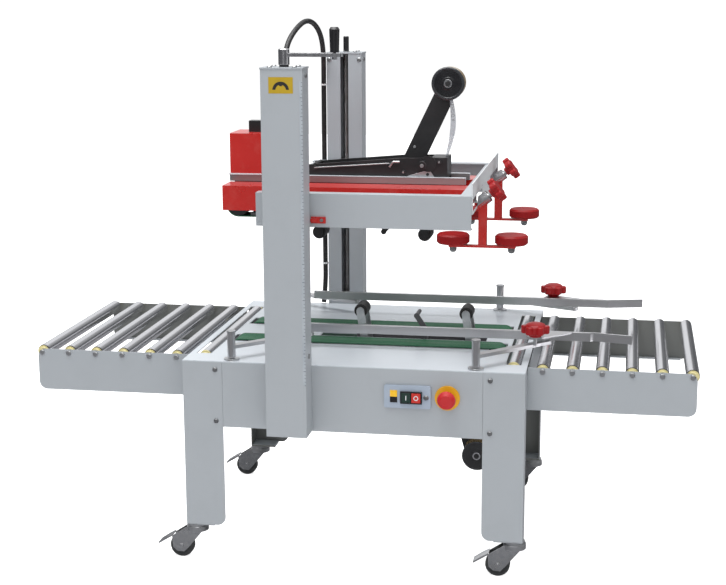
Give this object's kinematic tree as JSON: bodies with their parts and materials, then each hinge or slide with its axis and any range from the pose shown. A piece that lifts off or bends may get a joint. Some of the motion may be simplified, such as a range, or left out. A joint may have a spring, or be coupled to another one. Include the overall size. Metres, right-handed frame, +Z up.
{
  "type": "carton sealer machine",
  "caption": "Belt-driven carton sealer with crank-raised head, tape cartridges, folding guide rails and roller conveyors on casters.",
  "frame": {"origin": "on the floor under the middle of the machine's outline", "axes": "+X towards the infeed end with the flared guide rails, +Y towards the rear column, +Z up"},
  "size_m": [1.916, 0.9714, 1.5428],
  "materials": {
    "painted_sheet": "light blue-grey powder coat with fine texture, chipped lightly at the edges",
    "deck_paint": "pale powder coat, rubbed smooth along the carton path",
    "roller_steel": "drawn zinc-bright tube with fine rings, cream bearing caps",
    "zinc_steel": "bright zinc plate with faint clouding",
    "grey_plastic": "moulded grey plastic plate with yellow and black windows",
    "cartridge_black": "satin black paint, worn on the edges",
    "drum_steel": "dark grey machine paint",
    "green_belt": "dark green woven-backed rubber belt, dusty along the middle",
    "black_hose": "black corrugated-look conduit, soft sheen",
    "screw_steel": "turned steel with cut thread and a film of oil",
    "red_paint": "glossy bright red enamel",
    "tape_film": "clear brown packing film wound on a card core",
    "caster_rubber": "amber polyurethane tread on a pale hub",
    "red_moulding": "red moulded plastic, matte, with rounded rims",
    "green_plastic": "translucent green key cap",
    "red_plastic": "bright red moulded plastic"
  },
  "bodies": {
    "machine": {"table_panels": "painted_sheet", "legs": "painted_sheet", "deck": "deck_paint", "extension_sides": "painted_sheet", "columns": "painted_sheet", "roller_axles": "roller_steel", "fasteners": "zinc_steel", "control_plate": "grey_plastic", "lower_tape_frame": "cartridge_black", "lower_drive": "drum_steel", "lower_belts": "green_belt", "hose": "black_hose"},
    "outfeed_roller_1": {"outfeed_roller_1": "roller_steel"},
    "outfeed_roller_2": {"outfeed_roller_2": "roller_steel"},
    "outfeed_roller_3": {"outfeed_roller_3": "roller_steel"},
    "outfeed_roller_4": {"outfeed_roller_4": "roller_steel"},
    "outfeed_roller_5": {"outfeed_roller_5": "roller_steel"},
    "outfeed_roller_6": {"outfeed_roller_6": "roller_steel"},
    "infeed_roller_1": {"infeed_roller_1": "roller_steel"},
    "infeed_roller_2": {"infeed_roller_2": "roller_steel"},
    "infeed_roller_3": {"infeed_roller_3": "roller_steel"},
    "infeed_roller_4": {"infeed_roller_4": "roller_steel"},
    "infeed_roller_5": {"infeed_roller_5": "roller_steel"},
    "infeed_roller_6": {"infeed_roller_6": "roller_steel"},
    "outfeed_front_caster_fork": {"outfeed_front_caster_fork": "zinc_steel"},
    "outfeed_front_caster_wheel": {"outfeed_front_caster_wheel": "caster_rubber"},
    "outfeed_rear_caster_fork": {"outfeed_rear_caster_fork": "zinc_steel"},
    "outfeed_rear_caster_wheel": {"outfeed_rear_caster_wheel": "caster_rubber"},
    "infeed_front_caster_fork": {"infeed_front_caster_fork": "zinc_steel"},
    "infeed_front_caster_wheel": {"infeed_front_caster_wheel": "caster_rubber"},
    "infeed_rear_caster_fork": {"infeed_rear_caster_fork": "zinc_steel"},
    "infeed_rear_caster_wheel": {"infeed_rear_caster_wheel": "caster_rubber"},
    "crank": {"crank": "screw_steel"},
    "rear_screw": {"rear_screw": "screw_steel"},
    "head": {"head_beams": "painted_sheet", "head_drive": "red_paint", "upper_belts": "green_belt", "upper_tape_frame": "cartridge_black"},
    "upper_drum": {"upper_drum": "cartridge_black"},
    "upper_tape_roll": {"upper_tape_roll": "tape_film"},
    "lower_tape_roll": {"lower_tape_roll": "tape_film"},
    "upper_front_arm": {"upper_front_arm": "cartridge_black"},
    "upper_rear_arm": {"upper_rear_arm": "cartridge_black"},
    "lower_front_arm": {"lower_front_arm": "cartridge_black"},
    "lower_rear_arm": {"lower_rear_arm": "cartridge_black"},
    "front_press_bracket": {"front_press_bracket": "red_paint"},
    "front_left_disc": {"front_left_disc": "red_moulding"},
    "front_right_disc": {"front_right_disc": "red_moulding"},
    "rear_press_bracket": {"rear_press_bracket": "red_paint"},
    "rear_left_disc": {"rear_left_disc": "red_moulding"},
    "rear_right_disc": {"rear_right_disc": "red_moulding"},
    "infeed_front_rail_link": {"infeed_front_rail_link": "painted_sheet"},
    "outfeed_front_rail_link": {"outfeed_front_rail_link": "painted_sheet"},
    "front_guide_rail": {"front_guide_rail": "deck_paint"},
    "infeed_rear_rail_link": {"infeed_rear_rail_link": "painted_sheet"},
    "outfeed_rear_rail_link": {"outfeed_rear_rail_link": "painted_sheet"},
    "rear_guide_rail": {"rear_guide_rail": "deck_paint"},
    "start_button": {"start_button": "green_plastic"},
    "stop_button": {"stop_button": "red_plastic"},
    "emergency_stop": {"emergency_stop": "red_plastic"}
  },
  "joints": [
    {"name": "outfeed_roller_1_spin", "type": "hinge", "parent": "machine", "child": "outfeed_roller_1", "pos_m": [-0.529, 0, 0.587], "axis": [0, 1, 0], "continuous": true},
    {"name": "outfeed_roller_2_spin", "type": "hinge", "parent": "machine", "child": "outfeed_roller_2", "pos_m": [-0.611, 0, 0.587], "axis": [0, 1, 0], "continuous": true},
    {"name": "outfeed_roller_3_spin", "type": "hinge", "parent": "machine", "child": "outfeed_roller_3", "pos_m": [-0.693, 0, 0.587], "axis": [0, 1, 0], "continuous": true},
    {"name": "outfeed_roller_4_spin", "type": "hinge", "parent": "machine", "child": "outfeed_roller_4", "pos_m": [-0.775, 0, 0.587], "axis": [0, 1, 0], "continuous": true},
    {"name": "outfeed_roller_5_spin", "type": "hinge", "parent": "machine", "child": "outfeed_roller_5", "pos_m": [-0.857, 0, 0.587], "axis": [0, 1, 0], "continuous": true},
    {"name": "outfeed_roller_6_spin", "type": "hinge", "parent": "machine", "child": "outfeed_roller_6", "pos_m": [-0.939, 0, 0.587], "axis": [0, 1, 0], "continuous": true},
    {"name": "infeed_roller_1_spin", "type": "hinge", "parent": "machine", "child": "infeed_roller_1", "pos_m": [0.529, 0, 0.587], "axis": [0, 1, 0], "continuous": true},
    {"name": "infeed_roller_2_spin", "type": "hinge", "parent": "machine", "child": "infeed_roller_2", "pos_m": [0.611, 0, 0.587], "axis": [0, 1, 0], "continuous": true},
    {"name": "infeed_roller_3_spin", "type": "hinge", "parent": "machine", "child": "infeed_roller_3", "pos_m": [0.693, 0, 0.587], "axis": [0, 1, 0], "continuous": true},
    {"name": "infeed_roller_4_spin", "type": "hinge", "parent": "machine", "child": "infeed_roller_4", "pos_m": [0.775, 0, 0.587], "axis": [0, 1, 0], "continuous": true},
    {"name": "infeed_roller_5_spin", "type": "hinge", "parent": "machine", "child": "infeed_roller_5", "pos_m": [0.857, 0, 0.587], "axis": [0, 1, 0], "continuous": true},
    {"name": "infeed_roller_6_spin", "type": "hinge", "parent": "machine", "child": "infeed_roller_6", "pos_m": [0.939, 0, 0.587], "axis": [0, 1, 0], "continuous": true},
    {"name": "outfeed_front_caster_swivel", "type": "hinge", "parent": "machine", "child": "outfeed_front_caster_fork", "pos_m": [-0.463, -0.38, 0.095], "axis": [0, 0, 1], "continuous": true},
    {"name": "outfeed_front_caster_roll", "type": "hinge", "parent": "outfeed_front_caster_fork", "child": "outfeed_front_caster_wheel", "pos_m": [-0.51, -0.38, 0.035], "axis": [0, 1, 0], "continuous": true},
    {"name": "outfeed_rear_caster_swivel", "type": "hinge", "parent": "machine", "child": "outfeed_rear_caster_fork", "pos_m": [-0.463, 0.38, 0.095], "axis": [0, 0, 1], "continuous": true},
    {"name": "outfeed_rear_caster_roll", "type": "hinge", "parent": "outfeed_rear_caster_fork", "child": "outfeed_rear_caster_wheel", "pos_m": [-0.51, 0.38, 0.035], "axis": [0, 1, 0], "continuous": true},
    {"name": "infeed_front_caster_swivel", "type": "hinge", "parent": "machine", "child": "infeed_front_caster_fork", "pos_m": [0.463, -0.38, 0.095], "axis": [0, 0, 1], "continuous": true},
    {"name": "infeed_front_caster_roll", "type": "hinge", "parent": "infeed_front_caster_fork", "child": "infeed_front_caster_wheel", "pos_m": [0.416, -0.38, 0.035], "axis": [0, 1, 0], "continuous": true},
    {"name": "infeed_rear_caster_swivel", "type": "hinge", "parent": "machine", "child": "infeed_rear_caster_fork", "pos_m": [0.463, 0.38, 0.095], "axis": [0, 0, 1], "continuous": true},
    {"name": "infeed_rear_caster_roll", "type": "hinge", "parent": "infeed_rear_caster_fork", "child": "infeed_rear_caster_wheel", "pos_m": [0.416, 0.38, 0.035], "axis": [0, 1, 0], "continuous": true},
    {"name": "crank_turn", "type": "hinge", "parent": "machine", "child": "crank", "pos_m": [-0.168, -0.4472, 1.44], "axis": [0, 0, 1], "range_deg": [-6840, 5400]},
    {"name": "rear_screw_turn", "type": "hinge", "parent": "machine", "child": "rear_screw", "pos_m": [-0.168, 0.4472, 1.44], "axis": [0, 0, 1], "range_deg": [-6841, 5401]},
    {"name": "head_lift", "type": "slide", "parent": "machine", "child": "head", "axis": [0, 0, 1], "range_m": [-0.19, 0.15], "deforming": ["hose"]},
    {"name": "upper_drum_spin", "type": "hinge", "parent": "head", "child": "upper_drum", "pos_m": [-0.38, 0, 1.012], "axis": [0, 1, 0], "continuous": true},
    {"name": "upper_tape_roll_spin", "type": "hinge", "parent": "head", "child": "upper_tape_roll", "pos_m": [0.223, 0, 1.361], "axis": [0, 1, 0], "continuous": true},
    {"name": "lower_tape_roll_spin", "type": "hinge", "parent": "machine", "child": "lower_tape_roll", "pos_m": [0.318, 0, 0.236], "axis": [0, 1, 0], "continuous": true},
    {"name": "upper_front_arm_swing", "type": "hinge", "parent": "head", "child": "upper_front_arm", "pos_m": [0.173, 0, 1.032], "axis": [0, 1, 0], "range_deg": [0, 64], "stiffness_Nm_per_rad": 2.5, "springref_deg": -20.05},
    {"name": "upper_rear_arm_swing", "type": "hinge", "parent": "head", "child": "upper_rear_arm", "pos_m": [-0.147, 0, 1.032], "axis": [0, 1, 0], "range_deg": [0, 64], "stiffness_Nm_per_rad": 2.5, "springref_deg": -20.05},
    {"name": "lower_front_arm_swing", "type": "hinge", "parent": "machine", "child": "lower_front_arm", "pos_m": [0.299, 0, 0.56], "axis": [0, 1, 0], "range_deg": [-64, 0], "stiffness_Nm_per_rad": 2.5, "springref_deg": 20.05},
    {"name": "lower_rear_arm_swing", "type": "hinge", "parent": "machine", "child": "lower_rear_arm", "pos_m": [-0.021, 0, 0.56], "axis": [0, 1, 0], "range_deg": [-64, 0], "stiffness_Nm_per_rad": 2.5, "springref_deg": 20.05},
    {"name": "front_press_bracket_slide", "type": "slide", "parent": "head", "child": "front_press_bracket", "axis": [0, 1, 0], "range_m": [-0.08, 0.08]},
    {"name": "front_left_disc_spin", "type": "hinge", "parent": "front_press_bracket", "child": "front_left_disc", "pos_m": [0.267, -0.25, 0.941], "axis": [0, 0, 1], "continuous": true},
    {"name": "front_right_disc_spin", "type": "hinge", "parent": "front_press_bracket", "child": "front_right_disc", "pos_m": [0.431, -0.25, 0.941], "axis": [0, 0, 1], "continuous": true},
    {"name": "rear_press_bracket_slide", "type": "slide", "parent": "head", "child": "rear_press_bracket", "axis": [0, 1, 0], "range_m": [-0.08, 0.08]},
    {"name": "rear_left_disc_spin", "type": "hinge", "parent": "rear_press_bracket", "child": "rear_left_disc", "pos_m": [0.267, 0.25, 0.941], "axis": [0, 0, 1], "continuous": true},
    {"name": "rear_right_disc_spin", "type": "hinge", "parent": "rear_press_bracket", "child": "rear_right_disc", "pos_m": [0.431, 0.25, 0.941], "axis": [0, 0, 1], "continuous": true},
    {"name": "infeed_front_rail_link_turn", "type": "hinge", "parent": "machine", "child": "infeed_front_rail_link", "pos_m": [0.348, -0.385, 0.645], "axis": [0, 0, 1], "range_deg": [-15, 30]},
    {"name": "outfeed_front_rail_link_turn", "type": "hinge", "parent": "machine", "child": "outfeed_front_rail_link", "pos_m": [-0.348, -0.385, 0.645], "axis": [0, 0, 1], "range_deg": [-15.5, 30.5]},
    {"name": "front_guide_rail_pivot", "type": "hinge", "parent": "infeed_front_rail_link", "child": "front_guide_rail", "pos_m": [0.534, -0.192, 0.64], "axis": [0, 0, 1], "range_deg": [-30.5, 15.5]},
    {"name": "infeed_rear_rail_link_turn", "type": "hinge", "parent": "machine", "child": "infeed_rear_rail_link", "pos_m": [0.348, 0.385, 0.645], "axis": [0, 0, 1], "range_deg": [-45, 8]},
    {"name": "outfeed_rear_rail_link_turn", "type": "hinge", "parent": "machine", "child": "outfeed_rear_rail_link", "pos_m": [-0.348, 0.385, 0.645], "axis": [0, 0, 1], "range_deg": [-45.5, 8.5]},
    {"name": "rear_guide_rail_pivot", "type": "hinge", "parent": "infeed_rear_rail_link", "child": "rear_guide_rail", "pos_m": [0.591, 0.272, 0.64], "axis": [0, 0, 1], "range_deg": [-8.5, 45.5]},
    {"name": "start_button_press", "type": "slide", "parent": "machine", "child": "start_button", "axis": [0, 1, 0], "range_m": [0, 0.002], "stiffness_N_per_m": 400, "springref_m": -0.002},
    {"name": "stop_button_press", "type": "slide", "parent": "machine", "child": "stop_button", "axis": [0, 1, 0], "range_m": [0, 0.002], "stiffness_N_per_m": 400, "springref_m": -0.002},
    {"name": "emergency_stop_press", "type": "slide", "parent": "machine", "child": "emergency_stop", "axis": [0, 1, 0], "range_m": [0, 0.004], "stiffness_N_per_m": 1500, "springref_m": -0.002}
  ],
  "couplings": [
    {"joint": "rear_screw_turn", "follows": "crank_turn", "ratio": 1},
    {"joint": "head_lift", "follows": "crank_turn", "m_per_rad": 0.0015915},
    {"joint": "upper_rear_arm_swing", "follows": "upper_front_arm_swing", "ratio": 1},
    {"joint": "lower_rear_arm_swing", "follows": "lower_front_arm_swing", "ratio": 1},
    {"joint": "outfeed_front_rail_link_turn", "follows": "infeed_front_rail_link_turn", "ratio": 1},
    {"joint": "front_guide_rail_pivot", "follows": "infeed_front_rail_link_turn", "ratio": -1},
    {"joint": "outfeed_rear_rail_link_turn", "follows": "infeed_rear_rail_link_turn", "ratio": 1},
    {"joint": "rear_guide_rail_pivot", "follows": "infeed_rear_rail_link_turn", "ratio": -1}
  ]
}
